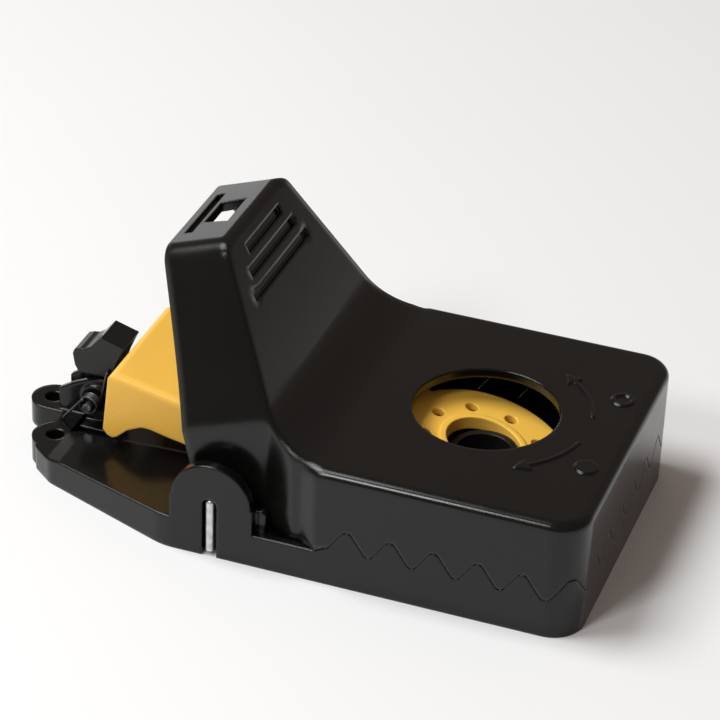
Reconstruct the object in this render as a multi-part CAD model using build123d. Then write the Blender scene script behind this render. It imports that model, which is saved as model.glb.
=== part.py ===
"""Snap mouse trap: a wavy-edged jaw on a flat tray, with a trip pedal, a bait cup and a catch.

Millimetres, +Z up, +X to the mouth. Modelled about the axle (x = 0) and moved at
export, so that the origin is under the middle of the footprint.
"""
import os
from math import atan2, cos, degrees, hypot, pi, radians, sin, sqrt, tan

from build123d import *

os.makedirs("parts", exist_ok=True)

# ---- driving dimensions ----
WIDTH = 75.0            # across the walls
FRONT = 83.7            # axle to the front face
TAIL = 59.5             # axle to the tail's tip
BODY_H = 28.8           # flat top of the closed jaw
HUMP_H = 64.9           # hump top, square to its own 19.5 degree slope
HUMP_TILT = 19.5        # slope of the hump's top face
HUMP_HALF = 17.0        # half width of the hump's top
HUMP_ROUND = 5.0        # its top corners
RIM_ROUND = 2.2
HUMP_FLARE = 0.414      # how fast its sides widen downwards
SLOPE = 62.0            # steepness of the thumb slope
SLOPE_FOOT = 15.2       # where that slope would meet the flat top
SLOPE_BLEND = 15.5
NECK_HALF = 32.1        # jaw between the ears
CORNER_R = 7.5
WALL = 2.2
FLOOR = 2.6
RIM_Z = 8.0             # tray walls behind the waves
DECK_Z = 6.0            # tail end
CREST, TROUGH = 14.6, 9.4
WAVE_LEAN = 55.0        # steepest part of each wave
WAVES_SIDE = 5
WAVES_FRONT = 6
HOLE_X, HOLE_R = 50.3, 16.4
AXLE_Z = 13.4
WIRE_R = 1.15
SHAFT_FIT = 0.08
GAP = 0.2
EAR_T, EAR_R = 2.5, 9.4
PEG_R = 2.1             # tie-down holes
PIN_X, PIN_Z, PIN_R = -42.0, 11.0, 1.0
SPRING_R, SPRING_WIRE_R, SPRING_Y = 3.5, 0.8, 19.4
CUP_R = 7.6
EYE_R = 8.5             # pedal's opening round the cup
ARM_HALF = 16.5
SCENT_HOLES = 9

HALF = WIDTH / 2
WAVE_X0 = 27.0
WAVE_X1 = FRONT - CORNER_R
WAVE_Y1 = HALF - CORNER_R
SHIFT = -(FRONT - TAIL) / 2
AXLE = (0, 0, AXLE_Z)
T_AXIS = radians(HUMP_TILT)


def xz(points, y0, y1):
    """Solid from a closed XZ outline, between two Y planes."""
    face = make_face(Polyline(*[(x, 0, z) for x, z in points], close=True))
    return extrude(face, y1 - y0, dir=(0, 1, 0)).moved(Location((0, y0, 0)))


def plan(points, z0, z1):
    face = make_face(Polyline(*[(x, y, 0) for x, y in points], close=True))
    return extrude(face, z1 - z0, dir=(0, 0, 1)).moved(Location((0, 0, z0)))


def box(x0, x1, y0, y1, z0, z1):
    return Pos((x0 + x1) / 2, (y0 + y1) / 2, (z0 + z1) / 2) * Box(x1 - x0, y1 - y0, z1 - z0)


def rod_y(x, z, r, y0, y1):
    return Pos(x, (y0 + y1) / 2, z) * Rot(90, 0, 0) * Cylinder(r, y1 - y0)


def rod_z(x, y, r, z0, z1):
    return Pos(x, y, (z0 + z1) / 2) * Cylinder(r, z1 - z0)


def soften(body, pick, radii, name):
    """Round the picked edges with the first radius that gives a sound solid."""
    for r in radii:
        try:
            edges = pick(body)
            out = fillet(edges, r)
            if out.is_valid and abs(out.volume - body.volume) < body.volume * 0.3:
                print(name, "rounded", r, len(edges))
                return out
        except Exception:
            pass
    print(name, "left sharp")
    return body


def mirror_y(shape):
    return mirror(shape, about=Plane.XZ)


# ---- the wavy parting surface ----
def wave(start, end, count, dz):
    """Edges in (u, z) of a round-tipped zigzag that begins and ends in a trough."""
    step = (end - start) / (2 * count)
    lean = radians(WAVE_LEAN)
    r = max((step * tan(lean) - (CREST - TROUGH)) / (2 * (1 / cos(lean) - 1)), 0.4)
    sx, sz = r * sin(lean), r * (1 - cos(lean))
    s45, z45 = r * sin(lean / 2), r * (1 - cos(lean / 2))
    edges, last = [], None
    for i in range(2 * count + 1):
        u, up = start + i * step, i % 2
        z, d = (CREST if up else TROUGH) + dz, -1 if up else 1
        left, right = (u - sx, z + d * sz, 0), (u + sx, z + d * sz, 0)
        if i:
            edges.append(Line(last, left))
        if i == 0:
            edges.append(ThreePointArc((u, z, 0), (u + s45, z + d * z45, 0), right))
        elif i == 2 * count:
            edges.append(ThreePointArc(left, (u - s45, z + d * z45, 0), (u, z, 0)))
        else:
            edges.append(ThreePointArc(left, (u, z, 0), right))
        last = right
    return edges


def wave_face(start, end, count, dz, lead, tail, up):
    """Face in (u, z) on one side of the wave, with straight runs before and after it."""
    z_far = 90 if up else -20
    first, last = (start, TROUGH + dz, 0), (end, TROUGH + dz, 0)
    before = [(u, z, 0) for u, z in lead] + [first]
    after = [last] + [(u, z, 0) for u, z in tail]
    edges = wave(start, end, count, dz)
    if lead:
        edges.append(Polyline(*before))
    edges.append(Polyline(*after, (after[-1][0], z_far, 0), (before[0][0], z_far, 0), before[0]))
    return make_face(edges)


def parting(dz, up):
    """Solids that together fill the space over (or under) the parting line, moved by dz."""
    stand = Plane(origin=(0, 0, 0), x_dir=(1, 0, 0), z_dir=(0, -1, 0))
    lead = [(-90, DECK_Z + dz), (-45, DECK_Z + dz), (-41, 6.9 + dz), (-12, RIM_Z + dz),
            (WAVE_X0 - 2.5, RIM_Z + dz)]
    side = wave_face(WAVE_X0, WAVE_X1, WAVES_SIDE, dz, lead, [], up)
    side = extrude(stand * side, 60, both=True)
    facing = Plane(origin=(WAVE_X1, 0, 0), x_dir=(0, 1, 0), z_dir=(1, 0, 0))
    front = extrude(facing * wave_face(-WAVE_Y1, WAVE_Y1, WAVES_FRONT, dz, [], [], up), 40)
    # one wave round each corner, run out along the diagonal
    half = CORNER_R / sqrt(2)
    diag = Plane(origin=(FRONT - CORNER_R / 2, HALF - CORNER_R / 2, 0),
                 x_dir=(-1 / sqrt(2), 1 / sqrt(2), 0), z_dir=(1 / sqrt(2), 1 / sqrt(2), 0))
    corner = wave_face(-half, half, 1, dz, [(-half - 20, TROUGH + dz)],
                       [(half + 20, TROUGH + dz)], up)
    corner = extrude(diag * corner, 40, both=True)
    ease = 0 if up else GAP     # the jaw's corner tooth stays clear of the steps beside it
    corner = corner & box(WAVE_X1 - ease, WAVE_X1 + 40, WAVE_Y1 - ease, WAVE_Y1 + 40, -30, 95)
    return [side, front, corner, mirror_y(corner)]


# ---- jaw ----
def jaw_form(t):
    """The jaw's outer form (t = 0), or its hollow, inset by t and open to the rear and below."""
    s, c = sin(radians(SLOPE)), cos(radians(SLOPE))
    top_z = BODY_H - t
    # slope line through its foot, moved in by t
    foot = SLOPE_FOOT - t * (1 - c) / s
    # where it meets the hump's top
    s_top = HUMP_H - t
    # -x sin + z cos = s_top with x = foot - k c, z = top_z + k s
    k = (s_top + foot * sin(T_AXIS) - top_z * cos(T_AXIS)) / (c * sin(T_AXIS) + s * cos(T_AXIS))
    peak = (foot - k * c, top_z + k * s)
    r = SLOPE_BLEND + t
    reach = r * tan(radians(SLOPE) / 2)
    a0 = (foot - reach * c, top_z + reach * s)
    a1 = (foot + reach, top_z)
    centre = (a1[0], top_z + r)
    mid_angle = radians(-90 - SLOPE / 2)
    am = (centre[0] + r * cos(mid_angle), centre[1] + r * sin(mid_angle))

    def at(p):
        return (p[0], 0, p[1])

    def on_top(x):
        return (x, (s_top + x * sin(T_AXIS)) / cos(T_AXIS))
    low = 0.0 if t == 0 else -10.0
    front = FRONT - t
    if t == 0:
        end = on_top(-19.4)
        rear = [Polyline(at((-6.6, low)), at((-6.6, 18.8))),
                Spline(at((-6.6, 18.8)), at((-10.4, 34.1)), at((-14.9, 48.5)), at(end))]
        start = (-6.6, low)
    else:
        end = on_top(-70)
        rear = [Polyline(at((-70, low)), at(end))]
        start = (-70, low)
    nose = 1.8
    back = (cos(T_AXIS), sin(T_AXIS))
    q0 = (peak[0] - nose * back[0], peak[1] - nose * back[1])
    q1 = (peak[0] + nose * c, peak[1] - nose * s)
    edges = rear + [Line(at(end), at(q0)), Spline(at(q0), at(q1), tangents=(
        (back[0], 0, back[1]), (c, 0, -s))), Line(at(q1), at(a0)),
        ThreePointArc(at(a0), at(am), at(a1)),
        Polyline(at(a1), at((front, top_z)), at((front, low)), at(start))]
    side = extrude(make_face(edges), 60, dir=(0, 1, 0), both=True)

    # neck, widening a little towards the shoulders, and the full-width body in front
    n, w, mid = NECK_HALF, HALF, (NECK_HALF + HALF) / 2
    neck = [(-90, n), (11.5, n), (18.5, mid + 0.6), (44, mid + 0.6)]
    body = [(13.5, n), (24.5, w), (front + t, w)]
    hump_plan = make_face(Polyline(*both_sides(neck), close=True))
    body_plan = make_face(Polyline(*both_sides(body), close=True))
    body_plan = fillet([v for v in body_plan.vertices() if abs(v.X - FRONT) < 0.01], CORNER_R)
    if t:
        hump_plan = offset(hump_plan, -t)
        body_plan = offset(body_plan, -t)
    over = extrude(hump_plan, 120, dir=(0, 0, 1)).moved(Location((0, 0, -20)))
    slab = extrude(body_plan, top_z - low, dir=(0, 0, 1)).moved(Location((0, 0, low)))
    if t == 0:
        slab = soften(slab, lambda b: [e for e in b.edges().filter_by_position(
            Axis.Z, top_z - 0.01, top_z + 0.01) if e.center().X > 14], (RIM_ROUND, 1.5), "jaw rim")

    # hump section, square to its own slope
    ax = Plane(origin=(0, 0, 0), x_dir=(0, 1, 0), z_dir=(cos(T_AXIS), 0, sin(T_AXIS)))
    h0 = HUMP_HALF - t * (sqrt(1 + HUMP_FLARE ** 2) - HUMP_FLARE)
    h_low = h0 + (s_top + 90) * HUMP_FLARE
    trapeze = make_face(Polyline((-h0, s_top), (-h_low, -90), (h_low, -90), (h0, s_top), close=True))
    trapeze = fillet([v for v in trapeze.vertices() if v.Y > 0], HUMP_ROUND - t)
    prism = extrude(ax * trapeze, 150, both=True)
    hump = side & over & prism
    return slab + hump


def both_sides(points):
    return points + [(x, -y) for x, y in reversed(points)]


def build_jaw():
    outer = jaw_form(0)
    jaw = outer - jaw_form(WALL)
    for space in parting(GAP, False):
        jaw = (jaw - space).fix()
    # hubs on the axle
    for s in (-1, 1):
        y0, y1 = sorted((s * (NECK_HALF - WALL - 0.6), s * (HALF - EAR_T - GAP)))
        jaw = jaw + rod_y(0, AXLE_Z, 6.0, y0, y1)
    jaw = jaw - rod_y(0, AXLE_Z, WIRE_R + SHAFT_FIT, -HALF, HALF)
    # bait hole, latch window and the groove behind it
    jaw = jaw - rod_z(HOLE_X, 0, HOLE_R, BODY_H - 6, BODY_H + 6)
    jaw = jaw - plan([(-14.6, -4.8), (-9.1, -5.5), (-9.1, 5.5), (-14.6, 4.8)], 55, 75)
    up = (-sin(T_AXIS), cos(T_AXIS))

    def top_at(x, drop):
        z = (HUMP_H - drop + x * sin(T_AXIS)) / cos(T_AXIS)
        return (x, z)
    groove = [top_at(-17.3, 0.9), top_at(-15.9, 0.9), top_at(-15.4, -1.5), top_at(-17.5, -1.5)]
    jaw = jaw - xz(groove, -9.5, 9.5)
    # grip grooves across the slope
    s, c = sin(radians(SLOPE)), cos(radians(SLOPE))
    foot = (SLOPE_FOOT, BODY_H)
    for k, half in ((38.0, 9.9), (33.6, 13.2), (29.0, 16.0)):
        mid = (foot[0] - k * c, foot[1] + k * s)
        slot = Pos(mid[0], 0, mid[1]) * Rot(0, -(90 - SLOPE), 0) * Box(2.0, 2 * half, 2.3)
        jaw = jaw - slot
    # turning arrows and two plain marks instead of words
    for a0, a1, head in ((14, 50, 1), (-13, -50, -1)):
        pts = [(HOLE_X + rr * cos(radians(a)), rr * sin(radians(a)))
               for rr, seq in ((23.1, range(0, 13)), (23.9, range(12, -1, -1)))
               for a in [a0 + (a1 - a0) * i / 12 for i in seq]]
        jaw = jaw + plan(pts, BODY_H - 0.2, BODY_H + 0.4)
        a = radians(a1)
        cx, cy = HOLE_X + 23.5 * cos(a), 23.5 * sin(a)
        tx, ty = -sin(a) * head, cos(a) * head
        nx, ny = cos(a), sin(a)
        tri = [(cx + 2.0 * nx, cy + 2.0 * ny), (cx - 2.0 * nx, cy - 2.0 * ny),
               (cx + 3.4 * tx, cy + 3.4 * ty)]
        jaw = jaw + plan(tri, BODY_H - 0.2, BODY_H + 0.4)
    for y, solid_dot in ((15.0, False), (-14.0, True)):
        mark = rod_z(77.3, y, 2.6, BODY_H - 0.2, BODY_H + 0.4)
        if not solid_dot:
            mark = mark - rod_z(77.3, y, 1.7, BODY_H - 1, BODY_H + 1)
        jaw = jaw + mark
    return jaw


# ---- tray ----
def build_tray():
    lobe_x = TAIL - 5.2
    with BuildSketch() as sk:
        with BuildLine():
            Polyline((FRONT, -HALF), (FRONT, HALF), (-11, HALF), (-44, HALF * 2 / 3),
                     (-49.8, 20.3), (-49.8, -20.3), (-44, -HALF * 2 / 3), (-11, -HALF), close=True)
        make_face()
        fillet([v for v in sk.vertices() if abs(v.X - FRONT) < 0.01], CORNER_R)
        fillet([v for v in sk.vertices() if abs(v.X + 11) < 0.01], 14)
        fillet([v for v in sk.vertices() if abs(v.X + 44) < 0.01], 6)
        fillet([v for v in sk.vertices() if abs(v.X + 49.8) < 0.01], 2.5)
        with Locations((-47.2, 14.5), (-47.2, -14.5)):
            Circle(5.4)
        with Locations((-lobe_x, 0)):
            Circle(5.2)
        with Locations((-lobe_x / 2 - 23, 0)):
            Rectangle(lobe_x - 46, 10.4)
    tray = extrude(sk.sketch, 20)
    for space in parting(0, True):
        tray = (tray - space).fix()
    # hollow front, round-cornered
    with BuildSketch() as inner:
        with BuildLine():
            Polyline((-9, -HALF + WALL), (FRONT - WALL, -HALF + WALL), (FRONT - WALL, HALF - WALL),
                     (-9, HALF - WALL), close=True)
        make_face()
        fillet([v for v in inner.vertices() if v.X > 0], CORNER_R - WALL)
        fillet([v for v in inner.vertices() if v.X < 0], 2)
    tray = tray - extrude(inner.sketch, 40).moved(Location((0, 0, FLOOR)))
    tray = tray - box(-44.5, -8, -12.3, 12.3, FLOOR, 40)
    # hollows under the tail deck
    for s in (-1, 1):
        pts = [(-11.5, s * 14.5), (-11.5, s * (HALF - 4.5)), (-39, s * (HALF * 2 / 3 - 1.5)),
               (-39, s * 14.5)]
        tray = tray - plan(pts, -5, 4.4)
    # ears over the axle ends
    for s in (-1, 1):
        y0, y1 = sorted((s * (HALF - EAR_T), s * HALF))
        ear = box(-EAR_R + 0.2, EAR_R + 0.6, y0, y1, 0.5, 14.2) + rod_y(0.4, 14.2, EAR_R - 0.2, y0, y1)
        tray = tray + ear
        a, b = sorted((s * (HALF - EAR_T - 0.2), s * (HALF + 2)))
        tray = tray - box(-1.6, 1.9, a, b, -1, 13.1) - rod_y(0.15, 13.15, 1.75, a, b)
        y2, y3 = sorted((s * (NECK_HALF + 1.3), s * (HALF - EAR_T + 0.1)))
        tray = tray + xz([(9.4, FLOOR - 0.5), (12.4, FLOOR - 0.5), (12.4, 12.4), (11.4, 13.2),
                          (9.4, 12.6)], y2, y3)
    # bracket for the catch
    cheek = [(-51, DECK_Z - 3.5), (-51, 11.4), (-48.2, 13.2), (-45.7, 14.4), (-43.2, 15.5),
             (-41.2, 16.1), (-39.4, 16.3), (-37.9, 15.4), (-37.2, 13.6), (-37, FLOOR - 0.5)]
    for y0, y1 in ((-4.0, -2.5), (2.5, 4.0)):
        tray = tray + xz(cheek, y0, y1)
    tray = tray + box(-44.6, -38, -7.6, 7.6, FLOOR - 0.5, 5.0)
    tray = tray + rod_y(PIN_X, PIN_Z, 3.4, -4.6, -3.9) + rod_y(PIN_X, PIN_Z, 3.4, 3.9, 4.6)
    tray = tray - rod_y(PIN_X, PIN_Z, PIN_R + 0.05, -12, 12)
    tray = tray - rod_y(PIN_X, PIN_Z, 3.5, -2.5, 2.5)
    # tie-down holes
    for x, y in ((-lobe_x, 0), (-47.2, 14.5), (-47.2, -14.5)):
        tray = tray - rod_z(x, y, PEG_R, -2, 20)
    # cup seat: raised ring, recess below and two insertion notches
    tray = tray + rod_z(HOLE_X, 0, 13.5, 1.0, 3.6)
    tray = tray - rod_z(HOLE_X, 0, 11.3, -1, 2.0)
    tray = tray - rod_z(HOLE_X, 0, CUP_R + 0.4, -1, 10)
    notch = plan([(0, 0)] + [(10.1 * cos(radians(a)), 10.1 * sin(radians(a)))
                             for a in range(66, 115, 6)], -1, 10)
    notch = notch + notch.moved(Location((0, 0, 0), (0, 0, 180)))
    tray = tray - notch.moved(Location((HOLE_X, 0, 0)))
    # floor ribs that the spring feet bear on
    for y in (17.2, 30.6):
        for s in (-1, 1):
            tray = tray + box(11, 24, s * y - 0.7, s * y + 0.7, FLOOR - 0.5, FLOOR + 1.6)
    return tray.fix()


# ---- pedal ----
def build_pedal():
    tilt = 0.231
    peak_x = 30.5
    plate_z = AXLE_Z + 5.9 + (HOLE_X - peak_x) * tilt
    # every height of the pedal is taken from the axle it turns on
    top = [(-32.9, 13.9), (-16.5, 10.6), (-6, 7.8), (12, 6.9)]
    low = [(12, -0.4), (5.5, -3.6), (2.5, -4.5), (-2.5, -4.5), (-6, -2.8), (-15.3, -0.4),
           (-18.2, 0.1), (-23, 1.2), (-25, 1.2), (-28.4, -0.4), (-30.9, -2.7), (-32.1, -3.3),
           (-33.4, -2.8), (-34.4, -1.4)]
    clear = max(AXLE_Z, DECK_Z + 7.4)     # the rear skirt stays clear of the deck when pressed
    top = [(x, AXLE_Z + z) for x, z in top]
    low = [(x, (clear if x < -28 else AXLE_Z) + z) for x, z in low]
    block = xz(top + low, -ARM_HALF, ARM_HALF)

    def crown(body):
        return [e for e in body.edges() if abs(abs(e.center().Y) - ARM_HALF) < 0.1
                and e.center().Z > AXLE_Z + 5.6 and e.bounding_box().size.X > 4] + \
               [e for e in body.edges() if e.bounding_box().size.Y > 30 and
                abs(e.center().X + 32.9) < 0.2]
    block = soften(block, crown, (1.8, 1.2, 0.8), "pedal block")
    inner = [(x, z - 2.0) for x, z in top]
    inner[0] = (-30.9, AXLE_Z + 11.5)
    inner[-1] = (10, inner[-1][1])
    hollow = xz(inner + [(10, 0), (-32.4, 0)], -ARM_HALF + 2, ARM_HALF - 2)
    block = block - hollow
    block = block - box(-40, -30, -12.5, 12.5, 0, AXLE_Z + 5.1)
    arm_top = [(9, AXLE_Z + 6.9), (12, AXLE_Z + 6.9), (peak_x, plate_z), (34, plate_z - 3.5 * tilt)]
    arm = xz(arm_top + [(34, plate_z - 2.8), (peak_x, plate_z - 2.0),
                        (12, AXLE_Z + 4.9), (9, AXLE_Z + 4.9)], -11, 11)
    for s in (-1, 1):
        y0, y1 = sorted((s * 9, s * 11))
        arm = arm + xz([(9, AXLE_Z + 5.6), (peak_x, plate_z - 1), (34, plate_z - 2.2),
                        (32, plate_z - 4.5), (20, AXLE_Z + 3.1), (9, AXLE_Z + 0.6)], y0, y1)
    plate_end = HOLE_X + 21
    drop = (plate_end - peak_x) * tilt
    plate = xz([(peak_x, plate_z), (plate_end, plate_z - drop), (plate_end, plate_z - drop - 1.9),
                (peak_x, plate_z - 1.9)], -30, 30)
    plate = plate & rod_z(HOLE_X, 0, 19.4, 0, 40)
    pedal = block + arm + plate
    rim = rod_z(HOLE_X, 0, EYE_R + 1.4, 0, 40) - rod_z(HOLE_X, 0, EYE_R, 0, 50)
    rim = rim & xz([(peak_x, plate_z + 0.7), (plate_end, plate_z - drop + 0.7),
                    (plate_end, plate_z - drop - 2.4), (peak_x, plate_z - 2.4)], -30, 30)
    pedal = pedal + rim - rod_z(HOLE_X, 0, EYE_R, 0, 50)
    for i in range(SCENT_HOLES):
        a = 2 * pi * i / SCENT_HOLES
        pedal = pedal - rod_z(HOLE_X + 13.1 * cos(a), 13.1 * sin(a), 1.45, 0, 50)
    return pedal - rod_y(0, AXLE_Z, WIRE_R + SHAFT_FIT, -30, 30)


# ---- small parts ----
def build_cup():
    cup = rod_z(HOLE_X, 0, CUP_R, 1.0, 18.2) + rod_z(HOLE_X, 0, 11.0, 0.2, 1.7)
    lug = plan([(0, 0)] + [(9.8 * cos(radians(a)), 9.8 * sin(radians(a)))
                           for a in range(-20, 21, 5)], 3.9, 5.2)
    lug = lug + lug.moved(Location((0, 0, 0), (0, 0, 180)))
    cup = cup + lug.moved(Location((HOLE_X, 0, 0)))
    cup = cup - rod_z(HOLE_X, 0, CUP_R - 1.5, 2.2, 30)
    # finger bar underneath
    slots = box(HOLE_X - 6, HOLE_X + 6, 1.4, 5, -1, 1.2) + box(HOLE_X - 6, HOLE_X + 6, -5, -1.4, -1, 1.2)
    return cup - slots


def build_axle():
    y = HALF - EAR_T / 2
    bar = rod_y(0, AXLE_Z, WIRE_R, -y, y)
    for s in (-1, 1):
        bar = bar + rod_z(0, s * y, WIRE_R, 1.2, AXLE_Z) + Pos(0, s * y, AXLE_Z) * Sphere(WIRE_R)
    return bar


KNUCKLE = 1.03       # the ball at each bend of a spring, over its wire


def coil(x, z, r, w, y0, y1, a0, a1, ends):
    """Spring round a line along +Y: helix from angle a0 to a1, a straight leg at each end."""
    turns = abs(a1 - a0) / (2 * pi)
    height = abs(y1 - y0)
    helix = Helix(pitch=height / turns, height=height, radius=r, lefthand=a1 > a0)
    body = sweep(Plane(origin=helix @ 0, z_dir=helix % 0) * Circle(w), path=helix)
    # helix axis onto +Y, its start onto angle a0
    body = Pos(x, y0, z) * Rot(0, -degrees(a0), 0) * Rot(-90, 0, 0) * body
    for a, y, end in ((a0, y0, ends[0]), (a1, y1, ends[1])):
        p = (x + r * cos(a), y, z + r * sin(a))
        body = body + Pos(*p) * Sphere(w * KNUCKLE) + bar(p, end, w) + Pos(*end) * Sphere(w * KNUCKLE)
    return body


def bar(p, q, r):
    p, q = Vector(*p), Vector(*q)
    mid = (p + q) * 0.5
    return Plane(origin=mid, z_dir=q - p) * Cylinder(r, (q - p).length)


def build_main_spring(s):
    """Coil round the axle; one foot on the tray floor, one arm up the inside of the slope."""
    r, w = SPRING_R, SPRING_WIRE_R
    y0, y1, turns = SPRING_Y, NECK_HALF - WALL - 1.7, 5
    nx, nz = sin(radians(SLOPE)), cos(radians(SLOPE))
    dist = (SLOPE_FOOT * nx + (BODY_H - AXLE_Z) * nz) - WALL - w - 0.15
    k = 6.0
    tip = (dist * nx - k * nz, dist * nz + k * nx)
    foot = (20.0, FLOOR + 1.6 + w + 0.1 - AXLE_Z)

    def tangent(p, side):
        d, a = hypot(*p), atan2(p[1], p[0])
        return a + side * atan2(sqrt(max(d * d - r * r, 0)), r)
    a_foot = tangent(foot, -1)
    a_tip = tangent(tip, 1) - 2 * pi * turns
    ends = ((foot[0], y0, foot[1] + AXLE_Z), (tip[0], y1, tip[1] + AXLE_Z))
    spring = coil(0, AXLE_Z, r, w, y0, y1, a_foot, a_tip, ends)
    return spring if s > 0 else mirror_y(spring)


def build_catch():
    head = [(-40.2, 27.7), (-34.4, 26.0), (-36.4, 21.5), (-37.9, 17.2), (-45.9, 17.2), (-46.8, 19.0),
            (-47.3, 21.9), (-46.9, 23.0), (-45.6, 23.5), (-44.2, 23.7), (-42.8, 24.6)]
    catch = xz(head, -4.2, 4.2)
    catch = catch + xz([(-45.4, 17.4), (-44.4, 12.0), (-42, 9.0), (-39.6, 12.0), (-38.2, 17.4)],
                       -2.2, 2.2)
    catch = catch + rod_y(PIN_X, PIN_Z, 3.0, -2.2, 2.2)
    return catch - rod_y(PIN_X, PIN_Z, PIN_R + 0.05, -8, 8)


def build_catch_spring():
    r, w, y0, y1 = 2.0, 0.35, 5.05, 8.0
    a0, a1 = radians(8), radians(-228 - 360 * 3)
    ends = ((PIN_X + r + 1.6, y0, 19.0), (-48.2, y1, DECK_Z + w + 0.15))
    return mirror_y(coil(PIN_X, PIN_Z, r, w, y0, y1, a0, a1, ends))


def build_catch_pin():
    return rod_y(PIN_X, PIN_Z, PIN_R, -8.8, 5.2) + rod_y(PIN_X, PIN_Z, 1.7, 4.75, 5.6)


NODES = [
    ("base_tray", build_tray),
    ("upper_jaw", build_jaw),
    ("trip_pedal", build_pedal),
    ("bait_cup", build_cup),
    ("axle_wire", build_axle),
    ("main_spring_left", lambda: build_main_spring(1)),
    ("main_spring_right", lambda: build_main_spring(-1)),
    ("catch", build_catch),
    ("catch_spring", build_catch_spring),
    ("catch_pin", build_catch_pin),
]

for name, make in NODES:
    shape = make()
    solids = shape.solids()
    if len(solids) > 1:
        solids = [s for s in solids if s.volume > 1.0]
        print(name, "solids", [round(s.volume, 1) for s in solids])
    part = solids[0] if len(solids) == 1 else Compound(children=solids)
    part = part.moved(Location((SHIFT, 0, 0)))
    export_step(part, f"parts/{name}.step")
    b = part.bounding_box()
    print(name, "ok" if part.is_valid else "BAD", [round(v, 2) for v in (*b.min, *b.max)])
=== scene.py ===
import math

import bpy
from mathutils import Matrix, Vector

bl_info = {
    "name": "Snap Mouse Trap",
    "version": (1, 0, 0),
    "blender": (4, 5, 0),
    "location": "3D View > Sidebar > Trap",
    "description": "Finishes and stage for a plastic snap mouse trap",
    "category": "Object",
}

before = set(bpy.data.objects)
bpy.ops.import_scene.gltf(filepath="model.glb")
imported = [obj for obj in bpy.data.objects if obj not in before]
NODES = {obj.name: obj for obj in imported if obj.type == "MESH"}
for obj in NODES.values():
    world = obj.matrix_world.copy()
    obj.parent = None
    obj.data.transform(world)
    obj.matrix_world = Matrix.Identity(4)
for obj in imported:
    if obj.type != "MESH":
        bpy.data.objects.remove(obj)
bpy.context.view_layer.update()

# where the jaw's edges change from crisp to soft, metres in the part's frame
FLANK_FROM, FLANK_TO = 0.0125, 0.0155          # off the middle, clear of the grooves
DECK_TOP, HUMP_FOOT = 0.0300, 0.0325           # height
SHOULDER_FRONT, SHOULDER_BACK = 0.0160, 0.0125  # along the trap

# light: name, place, size in metres, share of the key light's power, colour
LIGHTS = (
    ("key", (-0.70, -0.15, 1.25), 0.70, 1.0, (0.97, 0.99, 1.0)),
    ("window", (-0.80, 1.15, 0.27), 0.34, 0.024, (0.95, 0.99, 1.0)),
    ("front", (-0.33, -0.80, 0.82), 0.26, 0.24, (0.96, 0.99, 1.0)),
)
LIGHTS_AIM = (0.0, 0.0, 0.02)

# sockets of a colour Mix node
MIX_FACTOR, MIX_A, MIX_B, MIX_RESULT = 0, 6, 7, 2


# ---------------------------------------------------------------- settings
class TrapFinishSettings(bpy.types.PropertyGroup):
    jaw_colour: bpy.props.FloatVectorProperty(
        name="Jaw colour", description="Moulded black of the jaw and the tray",
        subtype="COLOR", size=3, min=0, max=1, default=(0.0040, 0.0039, 0.0036))
    cup_colour: bpy.props.FloatVectorProperty(
        name="Cup colour", description="Black of the bait cup",
        subtype="COLOR", size=3, min=0, max=1, default=(0.0060, 0.0058, 0.0056))
    pedal_colour: bpy.props.FloatVectorProperty(
        name="Pedal colour", description="Warm yellow of the trip pedal",
        subtype="COLOR", size=3, min=0, max=1, default=(1.0, 0.57, 0.085))
    wire_colour: bpy.props.FloatVectorProperty(
        name="Wire colour", description="Zinc-coated axle wire",
        subtype="COLOR", size=3, min=0, max=1, default=(0.62, 0.63, 0.65))
    spring_colour: bpy.props.FloatVectorProperty(
        name="Spring colour", description="Drawn spring wire",
        subtype="COLOR", size=3, min=0, max=1, default=(0.46, 0.46, 0.47))
    edge_radius: bpy.props.FloatProperty(
        name="Edge softness", description="How far light rounds the moulded edges",
        subtype="DISTANCE", unit="LENGTH", default=0.0008, min=0.0, max=0.004)
    flank_radius: bpy.props.FloatProperty(
        name="Flank softness", description="How far light rounds the edges of the hump's flanks",
        subtype="DISTANCE", unit="LENGTH", default=0.0026, min=0.0, max=0.005)
    polish: bpy.props.FloatProperty(
        name="Polish", description="Roughness of the black mouldings, lower is glossier",
        default=0.17, min=0.02, max=1.0)


class TrapStageSettings(bpy.types.PropertyGroup):
    floor_colour: bpy.props.FloatVectorProperty(
        name="Floor colour", description="Pale floor under the trap",
        subtype="COLOR", size=3, min=0, max=1, default=(0.86, 0.86, 0.86))
    floor_size: bpy.props.FloatProperty(
        name="Floor size", description="Side of the square floor",
        subtype="DISTANCE", unit="LENGTH", default=8.0, min=1.0)
    key_power: bpy.props.FloatProperty(
        name="Key light", description="Power of the large window-like light in watts",
        default=18.5, min=0.0)
    sky_strength: bpy.props.FloatProperty(
        name="Sky", description="Strength of the even studio light",
        default=0.22, min=0.0)
    camera_turn: bpy.props.FloatProperty(
        name="Camera turn", description="Camera's turn round the trap",
        subtype="ANGLE", unit="ROTATION", default=math.radians(18.75))
    camera_height: bpy.props.FloatProperty(
        name="Camera height", description="Camera's angle above the floor",
        subtype="ANGLE", unit="ROTATION", default=math.radians(31.72))
    camera_roll: bpy.props.FloatProperty(
        name="Camera roll", description="Tilt of the camera about its own axis",
        subtype="ANGLE", unit="ROTATION", default=math.radians(2.26))
    camera_distance: bpy.props.FloatProperty(
        name="Camera distance", description="Distance from the point it looks at",
        subtype="DISTANCE", unit="LENGTH", default=0.6793)
    camera_lens: bpy.props.FloatProperty(
        name="Lens", description="Focal length in millimetres", default=150.0)
    camera_aim: bpy.props.FloatVectorProperty(
        name="Aim", description="Point that the camera looks at",
        subtype="XYZ", unit="LENGTH", size=3, default=(0.00431, 0.01238, 0.02603))


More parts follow.
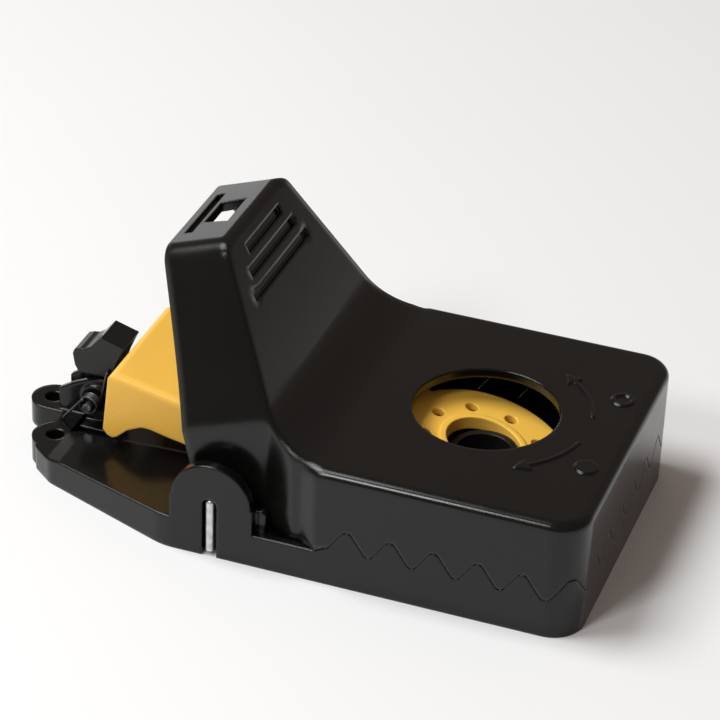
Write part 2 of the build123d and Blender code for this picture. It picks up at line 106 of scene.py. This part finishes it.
# ---------------------------------------------------------------- node helpers
class Finish:
    """A material's node tree, built one named node at a time."""

    def __init__(self, name):
        self.material = bpy.data.materials.new(name)
        self.material.use_nodes = True
        self.tree = self.material.node_tree
        self.tree.nodes.clear()
        self.output = self.add("ShaderNodeOutputMaterial", "Surface", 900, 0)
        self.shader = self.add("ShaderNodeBsdfPrincipled", "Finish", 600, 0)
        self.join(self.shader, "BSDF", self.output, "Surface")
        self.place = self.add("ShaderNodeTexCoord", "Place", -1300, 0)

    def add(self, kind, label, x, y, **settings):
        node = self.tree.nodes.new(kind)
        node.label, node.location = label, (x, y)
        for key, value in settings.items():
            setattr(node, key, value)
        return node

    def join(self, a, out, b, into):
        self.tree.links.new(a.outputs[out], b.inputs[into])

    def noise(self, label, scale, x, y, detail=4.0, rough=0.55, stretch=None):
        source, socket = self.place, "Object"
        if stretch:
            mapping = self.add("ShaderNodeMapping", label + " stretch", x - 220, y)
            mapping.inputs["Scale"].default_value = stretch
            self.join(self.place, "Object", mapping, "Vector")
            source, socket = mapping, "Vector"
        node = self.add("ShaderNodeTexNoise", label, x, y)
        node.inputs["Scale"].default_value = scale
        node.inputs["Detail"].default_value = detail
        node.inputs["Roughness"].default_value = rough
        self.join(source, socket, node, "Vector")
        return node

    def ramp(self, label, x, y, stops):
        node = self.add("ShaderNodeValToRGB", label, x, y)
        ramp = node.color_ramp
        while len(ramp.elements) < len(stops):
            ramp.elements.new(0.5)
        for element, (place, colour) in zip(ramp.elements, stops):
            element.position = place
            element.color = (*colour, 1.0)
        return node

    def spread(self, label, x, y, low, high, out_low, out_high):
        node = self.add("ShaderNodeMapRange", label, x, y)
        for key, value in (("From Min", low), ("From Max", high),
                           ("To Min", out_low), ("To Max", out_high)):
            node.inputs[key].default_value = value
        return node

    def bump(self, label, x, y, height, out, strength, distance, under=None):
        node = self.add("ShaderNodeBump", label, x, y)
        node.inputs["Strength"].default_value = strength
        node.inputs["Distance"].default_value = distance
        self.join(height, out, node, "Height")
        if under:
            self.join(under, "Normal", node, "Normal")
        return node

    def give(self, *nodes):
        for name in nodes:
            mesh = NODES[name].data
            mesh.materials.clear()
            mesh.materials.append(self.material)


def shade(colour, factor):
    return tuple(min(1.0, c * factor) for c in colour)


def flank_edges(f, soft, narrow, wide):
    """Wide soft edges on the hump's flanks and the shoulders, crisp ones on all the rest."""
    where = f.add("ShaderNodeSeparateXYZ", "Where", -1900, -560)
    f.join(f.place, "Object", where, "Vector")
    side = f.add("ShaderNodeMath", "Off the middle", -1700, -500, operation="ABSOLUTE")
    f.join(where, "Y", side, 0)
    flank = f.spread("On a flank", -1500, -500, FLANK_FROM, FLANK_TO, 0.0, 1.0)
    f.join(side, "Value", flank, "Value")
    above = f.spread("Above the deck", -1500, -760, DECK_TOP, HUMP_FOOT, 0.0, 1.0)
    f.join(where, "Z", above, "Value")
    behind = f.spread("Behind the shoulders", -1500, -1020, SHOULDER_FRONT, SHOULDER_BACK,
                      0.0, 1.0)
    f.join(where, "X", behind, "Value")
    hump = f.add("ShaderNodeMath", "On the hump", -1300, -860, operation="MAXIMUM")
    f.join(above, "Result", hump, 0)
    f.join(behind, "Result", hump, 1)
    both = f.add("ShaderNodeMath", "Flank of the hump", -1300, -620, operation="MULTIPLY")
    f.join(flank, "Result", both, 0)
    f.join(hump, "Value", both, 1)
    radius = f.spread("Edge radius", -1100, -620, 0.0, 1.0, narrow, wide)
    f.join(both, "Value", radius, "Value")
    f.join(radius, "Result", soft, "Radius")


def moulded(name, colour, roughness, softness, worn=0.0, grain=0.0, flanks=0.0):
    """Injection-moulded plastic: flow marks, fine dust, faint scratches, bright worn edges."""
    f = Finish(name)
    flow = f.noise("Flow marks", 26.0, -900, 300, 3.0, 0.5, (1.0, 0.35, 1.0))
    tone = f.ramp("Tone", -650, 300, [(0.3, shade(colour, 0.86)), (0.55, colour),
                                      (0.8, shade(colour, 1.14))])
    f.join(flow, "Fac", tone, "Fac")
    dust = f.noise("Dust", 900.0, -900, 20, 2.0, 0.6)
    specks = f.ramp("Dust specks", -650, 20, [(0.66, (0, 0, 0)), (0.78, (1, 1, 1))])
    f.join(dust, "Fac", specks, "Fac")
    dusty = f.add("ShaderNodeMix", "Dust over tone", -300, 260, data_type="RGBA")
    dusty.inputs[MIX_B].default_value = (*shade(colour, 1.0 + grain), 1.0)
    f.join(specks, "Color", dusty, MIX_FACTOR)
    f.join(tone, "Color", dusty, MIX_A)
    # edges: where the softened surface turns away from the true one
    soft = f.add("ShaderNodeBevel", "Soft edges", -900, -520, samples=8)
    soft.inputs["Radius"].default_value = softness
    if flanks:
        flank_edges(f, soft, softness, flanks)
    true = f.add("ShaderNodeNewGeometry", "True surface", -900, -680)
    turn = f.add("ShaderNodeVectorMath", "Turn at edges", -650, -640, operation="DOT_PRODUCT")
    f.join(soft, "Normal", turn, 0)
    f.join(true, "Normal", turn, 1)
    edge = f.spread("Edge rub", -420, -640, 0.995, 0.86, 0.0, worn)
    f.join(turn, "Value", edge, "Value")
    rubbed = f.add("ShaderNodeMix", "Rubbed edges", 60, 220, data_type="RGBA")
    rubbed.inputs[MIX_B].default_value = (*shade(colour, 2.1), 1.0)
    f.join(edge, "Result", rubbed, MIX_FACTOR)
    f.join(dusty, MIX_RESULT, rubbed, MIX_A)
    f.join(rubbed, MIX_RESULT, f.shader, "Base Color")
    # roughness: cloudy polish with hair scratches
    cloud = f.noise("Cloudy polish", 60.0, -900, -120, 5.0, 0.6)
    polish = f.spread("Polish", -420, -120, 0.3, 0.7, roughness * 0.82, roughness * 1.22)
    f.join(cloud, "Fac", polish, "Value")
    scratch = f.noise("Hair scratches", 380.0, -900, -300, 2.0, 0.5, (0.12, 1.0, 1.0))
    hair = f.spread("Scratch lift", -420, -300, 0.66, 0.76, 0.0, 0.035)
    f.join(scratch, "Fac", hair, "Value")
    total = f.add("ShaderNodeMath", "Polish and scratches", -150, -180, operation="ADD")
    f.join(polish, "Result", total, 0)
    f.join(hair, "Result", total, 1)
    f.join(total, "Value", f.shader, "Roughness")
    # surface: faint moulding ripple over the softened edges
    ripple = f.noise("Moulding ripple", 150.0, -420, -420, 3.0, 0.5)
    relief = f.bump("Ripple", 60, -420, ripple, "Fac", 0.16, 0.00004, soft)
    fine = f.noise("Fine texture", 2600.0, -420, -820, 2.0, 0.5)
    skin = f.bump("Skin", 300, -420, fine, "Fac", 0.12, 0.00001, relief)
    f.join(skin, "Normal", f.shader, "Normal")
    f.shader.inputs["IOR"].default_value = 1.42
    return f


def drawn_metal(name, colour, roughness, along, spangle):
    """Drawn wire: bright metal with fine lines along it and a patchy zinc skin."""
    f = Finish(name)
    patch = f.noise("Zinc patches", spangle, -900, 300, 3.0, 0.6)
    tone = f.ramp("Zinc tone", -600, 300, [(0.28, shade(colour, 0.70)), (0.5, colour),
                                           (0.76, shade(colour, 1.18))])
    f.join(patch, "Fac", tone, "Fac")
    grime = f.noise("Grime", 120.0, -900, 80, 5.0, 0.7)
    dark = f.ramp("Grime mask", -600, 80, [(0.58, (0, 0, 0)), (0.74, (1, 1, 1))])
    f.join(grime, "Fac", dark, "Fac")
    mixed = f.add("ShaderNodeMix", "Grime over zinc", -200, 220, data_type="RGBA")
    mixed.inputs[MIX_B].default_value = (*shade(colour, 0.36), 1.0)
    f.join(dark, "Color", mixed, MIX_FACTOR)
    f.join(tone, "Color", mixed, MIX_A)
    f.join(mixed, MIX_RESULT, f.shader, "Base Color")
    lines = f.noise("Drawing lines", 700.0, -900, -200, 2.0, 0.5, along)
    sheen = f.spread("Line sheen", -420, -200, 0.3, 0.7, roughness * 0.7, roughness * 1.4)
    f.join(lines, "Fac", sheen, "Value")
    f.join(sheen, "Result", f.shader, "Roughness")
    relief = f.bump("Line relief", 0, -420, lines, "Fac", 0.35, 0.00003)
    f.join(relief, "Normal", f.shader, "Normal")
    f.shader.inputs["Metallic"].default_value = 1.0
    return f


# ---------------------------------------------------------------- operators
class TRAP_OT_mouldings(bpy.types.Operator):
    """Give the tray, the jaw, the catch and the bait cup their black moulded finishes"""
    bl_idname = "trap.mouldings"
    bl_label = "Black mouldings"

    def execute(self, context):
        s = context.scene.trap_finish
        moulded("Jaw gloss black", s.jaw_colour, s.polish, s.edge_radius, 0.16, 0.7,
                s.flank_radius).give("upper_jaw")
        moulded("Tray gloss black", shade(s.jaw_colour, 0.92), s.polish * 1.15,
                s.edge_radius * 1.2, 0.16, 0.9).give("base_tray")
        moulded("Catch black", s.jaw_colour, s.polish * 1.1, 0.0005, 0.2, 0.8).give("catch")
        moulded("Cup black", s.cup_colour, 0.34, 0.0005, 0.15, 0.8).give("bait_cup")
        return {"FINISHED"}


class TRAP_OT_pedal(bpy.types.Operator):
    """Give the trip pedal its warm yellow moulded finish"""
    bl_idname = "trap.pedal"
    bl_label = "Yellow pedal"

    def execute(self, context):
        s = context.scene.trap_finish
        f = moulded("Pedal yellow", s.pedal_colour, 0.34, 0.0006, 0.12, 0.05)
        f.shader.inputs["Subsurface Weight"].default_value = 0.12
        f.shader.inputs["Subsurface Radius"].default_value = (0.004, 0.002, 0.0006)
        f.shader.inputs["Subsurface Scale"].default_value = 0.4
        f.give("trip_pedal")
        return {"FINISHED"}


class TRAP_OT_metal(bpy.types.Operator):
    """Give the axle wire, the catch pin and the springs their drawn-metal finishes"""
    bl_idname = "trap.metal"
    bl_label = "Wire and springs"

    def execute(self, context):
        s = context.scene.trap_finish
        drawn_metal("Galvanised axle wire", s.wire_colour, 0.34, (1, 1, 0.1), 420.0).give(
            "axle_wire")
        drawn_metal("Bright pin", shade(s.wire_colour, 1.1), 0.25, (1, 0.1, 1), 300.0).give(
            "catch_pin")
        drawn_metal("Spring wire", s.spring_colour, 0.3, (1, 1, 1), 260.0).give(
            "main_spring_left", "main_spring_right")
        drawn_metal("Blackened spring wire", shade(s.spring_colour, 0.22), 0.38, (1, 1, 1),
                    260.0).give("catch_spring")
        return {"FINISHED"}


class TRAP_OT_stage(bpy.types.Operator):
    """Set out the pale floor, the soft studio lights and the camera"""
    bl_idname = "trap.stage"
    bl_label = "Stage"

    def execute(self, context):
        s = context.scene.trap_stage
        bpy.ops.object.select_all(action="DESELECT")
        bpy.ops.mesh.primitive_plane_add(size=s.floor_size, location=(0, 0, 0))
        floor = context.object
        floor.name = "floor"
        f = Finish("Pale paper")
        fibre = f.noise("Paper cloud", 3.0, -900, 200, 4.0, 0.5)
        tone = f.ramp("Paper tone", -600, 200, [(0.3, shade(s.floor_colour, 0.99)),
                                                (0.7, shade(s.floor_colour, 1.01))])
        f.join(fibre, "Fac", tone, "Fac")
        f.join(tone, "Color", f.shader, "Base Color")
        f.shader.inputs["Roughness"].default_value = 0.6
        floor.data.materials.append(f.material)
        self.lights(context, s)
        self.camera(context, s)
        return {"FINISHED"}

    def lights(self, context, s):
        world = bpy.data.worlds.new("Studio")
        context.scene.world = world
        world.use_nodes = True
        sky = world.node_tree.nodes["Background"]
        sky.inputs["Color"].default_value = (1.0, 0.83, 0.74, 1.0)
        sky.inputs["Strength"].default_value = s.sky_strength
        for name, place, size, share, colour in LIGHTS:
            bpy.ops.object.select_all(action="DESELECT")
            bpy.ops.object.light_add(type="AREA", location=place)
            lamp = context.object
            lamp.name = name
            lamp.data.size = size
            lamp.data.energy = s.key_power * share
            lamp.data.color = colour
            aim = Vector(LIGHTS_AIM) - Vector(place)
            lamp.rotation_euler = aim.to_track_quat("-Z", "Y").to_euler()

    def camera(self, context, s):
        a, e, r = s.camera_turn, s.camera_height, s.camera_roll
        back = Vector((math.sin(a) * math.cos(e), -math.cos(a) * math.cos(e), math.sin(e)))
        right = Vector((math.cos(a), math.sin(a), 0.0))
        up = back.cross(right)
        side = right * math.cos(r) + up * math.sin(r)
        top = up * math.cos(r) - right * math.sin(r)
        bpy.ops.object.camera_add()
        camera = context.object
        camera.name = "camera"
        place = Vector(s.camera_aim) + back * s.camera_distance
        camera.matrix_world = Matrix((
            (side.x, top.x, back.x, place.x), (side.y, top.y, back.y, place.y),
            (side.z, top.z, back.z, place.z), (0, 0, 0, 1)))
        camera.data.lens = s.camera_lens
        camera.data.sensor_width = 36.0
        camera.data.clip_start, camera.data.clip_end = 0.01, 20.0
        context.scene.camera = camera
        context.scene.view_settings.view_transform = "Standard"


class TRAP_PT_panel(bpy.types.Panel):
    bl_idname = "TRAP_PT_panel"
    bl_label = "Snap mouse trap"
    bl_space_type = "VIEW_3D"
    bl_region_type = "UI"
    bl_category = "Trap"

    def draw(self, context):
        column = self.layout.column()
        for group in (context.scene.trap_finish, context.scene.trap_stage):
            for name in group.bl_rna.properties.keys():
                if name not in ("rna_type", "name"):
                    column.prop(group, name)
        for operator in STEPS:
            column.operator(operator.bl_idname)


STEPS = (TRAP_OT_mouldings, TRAP_OT_pedal, TRAP_OT_metal, TRAP_OT_stage)
CLASSES = (TrapFinishSettings, TrapStageSettings, *STEPS, TRAP_PT_panel)


def register():
    for cls in CLASSES:
        bpy.utils.register_class(cls)
    bpy.types.Scene.trap_finish = bpy.props.PointerProperty(type=TrapFinishSettings)
    bpy.types.Scene.trap_stage = bpy.props.PointerProperty(type=TrapStageSettings)


def unregister():
    del bpy.types.Scene.trap_stage
    del bpy.types.Scene.trap_finish
    for cls in reversed(CLASSES):
        bpy.utils.unregister_class(cls)


def main():
    register()
    bpy.ops.trap.stage()
    bpy.ops.trap.mouldings()
    bpy.ops.trap.pedal()
    bpy.ops.trap.metal()


if __name__ == "__main__":
    main()
